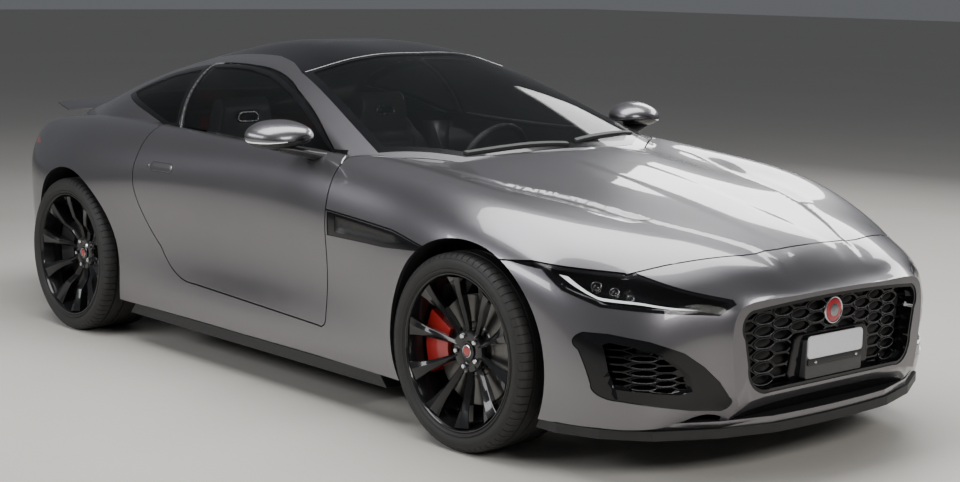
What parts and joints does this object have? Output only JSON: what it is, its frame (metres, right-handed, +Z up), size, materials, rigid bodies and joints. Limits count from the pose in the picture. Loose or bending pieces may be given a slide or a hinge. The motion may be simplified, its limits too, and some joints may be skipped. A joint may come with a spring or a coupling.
{
  "type": "coupe car",
  "caption": "Two-seat fastback coupe with steered and turning wheels, opening doors, front-hinged clamshell bonnet and lifting tailgate.",
  "frame": {"origin": "on the ground under the middle of the car's length and width", "axes": "+X to the nose, +Y to the car's left, +Z up"},
  "size_m": [4.472, 2.1476, 1.3094],
  "materials": {
    "body_paint": "metallic warm grey with clear coat",
    "black_roof": "gloss black",
    "gloss_black": "gloss black trim",
    "satin_black": "grained black plastic",
    "glazing": "tinted glass",
    "lamp_glass": "clear lens over dark housing",
    "lamp_white": "white light guide",
    "lamp_red": "red lens",
    "bright": "polished metal",
    "tyre_rubber": "black rubber",
    "rim_black": "gloss black alloy",
    "disc_iron": "machined iron",
    "caliper_red": "red enamel",
    "chassis_metal": "black coated steel",
    "cast_alloy": "cast alloy",
    "trim_leather": "black leather",
    "cabin_plastic": "soft black moulding",
    "plate_white": "blank plate",
    "rubber": "black rubber"
  },
  "bodies": {
    "root": {"body_shell": "body_paint", "dashboard": "cabin_plastic", "day_lights": "lamp_white", "engine_block": "cast_alloy", "exhaust_tips": "bright", "floor_pan": "satin_black", "front_bumper": "body_paint", "front_frame": "chassis_metal", "front_splitter": "satin_black", "headlamps": "gloss_black", "lamp_covers": "lamp_glass", "main_grille": "gloss_black", "number_plate": "plate_white", "quarter_glasses": "glazing", "rear_bumper": "body_paint", "rear_calipers": "chassis_metal", "rear_diffuser": "satin_black", "rear_frame": "chassis_metal", "rear_knuckles": "cast_alloy", "roof_panel": "black_roof", "rubber_rests": "rubber", "seats": "trim_leather", "side_intakes": "gloss_black", "side_skirts": "satin_black", "suspension_arms": "chassis_metal", "tail_lamps": "lamp_red", "wheel_arch_liners": "satin_black", "windscreen": "glazing", "wing_vents": "gloss_black", "wipers": "satin_black"},
    "door_left": {"door_left": "body_paint", "door_glass_left": "glazing", "mirror_left": "body_paint"},
    "door_right": {"door_right": "body_paint", "door_glass_right": "glazing", "mirror_right": "body_paint"},
    "bonnet": {"bonnet": "body_paint"},
    "tailgate": {"tailgate": "body_paint", "tailgate_glass": "glazing", "rear_spoiler": "body_paint"},
    "steering_wheel": {"steering_wheel": "cabin_plastic"},
    "upright_left": {"knuckle_fl": "cast_alloy", "caliper_fl": "caliper_red"},
    "upright_right": {"knuckle_fr": "cast_alloy", "caliper_fr": "caliper_red"},
    "wheel_fl": {"tyre_fl": "tyre_rubber", "rim_fl": "rim_black", "disc_fl": "disc_iron"},
    "wheel_fr": {"tyre_fr": "tyre_rubber", "rim_fr": "rim_black", "disc_fr": "disc_iron"},
    "wheel_rl": {"tyre_rl": "tyre_rubber", "rim_rl": "rim_black", "disc_rl": "disc_iron"},
    "wheel_rr": {"tyre_rr": "tyre_rubber", "rim_rr": "rim_black", "disc_rr": "disc_iron"}
  },
  "joints": [
    {"name": "steer_left", "type": "hinge", "parent": "root", "child": "upright_left", "pos_m": [1.352, 0.77, 0.341], "axis": [0, 0, 1], "range_deg": [-33, 33]},
    {"name": "steer_right", "type": "hinge", "parent": "root", "child": "upright_right", "pos_m": [1.352, -0.77, 0.341], "axis": [0, 0, 1], "range_deg": [-33, 33]},
    {"name": "steering_wheel_turn", "type": "hinge", "parent": "root", "child": "steering_wheel", "pos_m": [0.08, 0.37, 0.8], "axis": [-0.9135, 0, 0.4067], "range_deg": [-470, 470]},
    {"name": "wheel_fl_spin", "type": "hinge", "parent": "upright_left", "child": "wheel_fl", "pos_m": [1.352, 0.797, 0.341], "axis": [0, 1, 0], "continuous": true},
    {"name": "wheel_fr_spin", "type": "hinge", "parent": "upright_right", "child": "wheel_fr", "pos_m": [1.352, -0.797, 0.341], "axis": [0, 1, 0], "continuous": true},
    {"name": "wheel_rl_spin", "type": "hinge", "parent": "root", "child": "wheel_rl", "pos_m": [-1.27, 0.805, 0.3405], "axis": [0, 1, 0], "continuous": true},
    {"name": "wheel_rr_spin", "type": "hinge", "parent": "root", "child": "wheel_rr", "pos_m": [-1.27, -0.805, 0.3405], "axis": [0, 1, 0], "continuous": true},
    {"name": "door_left_swing", "type": "hinge", "parent": "root", "child": "door_left", "pos_m": [0.59, 0.903, 0.6], "axis": [0, 0, -1], "range_deg": [0, 65]},
    {"name": "door_right_swing", "type": "hinge", "parent": "root", "child": "door_right", "pos_m": [0.59, -0.903, 0.6], "axis": [0, 0, 1], "range_deg": [0, 65]},
    {"name": "bonnet_lift", "type": "hinge", "parent": "root", "child": "bonnet", "pos_m": [2.16, 0, 0.59], "axis": [0, 1, 0], "range_deg": [0, 48]},
    {"name": "tailgate_lift", "type": "hinge", "parent": "root", "child": "tailgate", "pos_m": [-0.761, 0, 1.288], "axis": [0, 1, 0], "range_deg": [0, 75]}
  ],
  "couplings": [
    {"joint": "steer_right", "follows": "steer_left", "ratio": 1},
    {"joint": "steering_wheel_turn", "follows": "steer_left", "ratio": 14}
  ]
}
